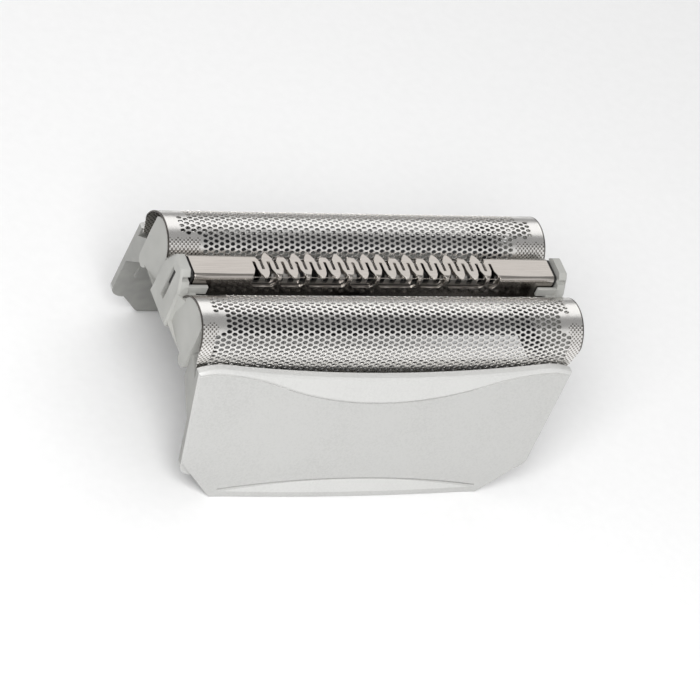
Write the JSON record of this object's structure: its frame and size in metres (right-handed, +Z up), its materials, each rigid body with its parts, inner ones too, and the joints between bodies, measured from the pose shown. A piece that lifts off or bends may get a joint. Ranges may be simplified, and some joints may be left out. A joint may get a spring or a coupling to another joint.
{
  "type": "shaver foil head",
  "caption": "Shaver foil head: flared silver frame holding perforated arched foils, with a sprung long-hair trimmer between them and a socket below for the shaver's cutter.",
  "frame": {"origin": "middle of the bottom rim that the head stands on", "axes": "+X along the foils, -Y towards the front panel, +Z up out of the shaver, towards the skin"},
  "size_m": [0.0428, 0.0254, 0.0202],
  "materials": {
    "silver_paint": "fine metallic silver paint on moulded plastic, satin",
    "grey_plastic": "moulded light grey plastic, satin",
    "nickel_foil": "electroformed nickel foil, bright",
    "dark_plastic": "moulded dark grey plastic, matte",
    "trimmer_steel": "ground and polished stainless steel",
    "black_plastic": "moulded black plastic, matte",
    "spring_steel": "drawn stainless spring steel"
  },
  "bodies": {
    "head": {"outer_frame": "silver_paint", "end_plate_left": "grey_plastic", "end_plate_right": "grey_plastic", "front_foil": "nickel_foil", "rear_foil": "nickel_foil", "front_foil_carrier": "dark_plastic", "rear_foil_carrier": "dark_plastic", "lift_spring_left": "spring_steel", "lift_spring_right": "spring_steel"},
    "trimmer": {"trimmer_comb": "trimmer_steel", "trimmer_carrier": "black_plastic", "blade_spring_left": "spring_steel", "blade_spring_right": "spring_steel"},
    "blade": {"trimmer_blade": "trimmer_steel", "blade_driver": "black_plastic"}
  },
  "joints": [
    {"name": "trimmer_float", "type": "slide", "parent": "head", "child": "trimmer", "axis": [0, 0, 1], "range_m": [-0.0012, 0], "stiffness_N_per_m": 400, "springref_m": 0.001, "deforming": ["lift_spring_left", "lift_spring_right"]},
    {"name": "blade_stroke", "type": "slide", "parent": "trimmer", "child": "blade", "axis": [1, 0, 0], "range_m": [-0.0011, 0.0011]}
  ]
}
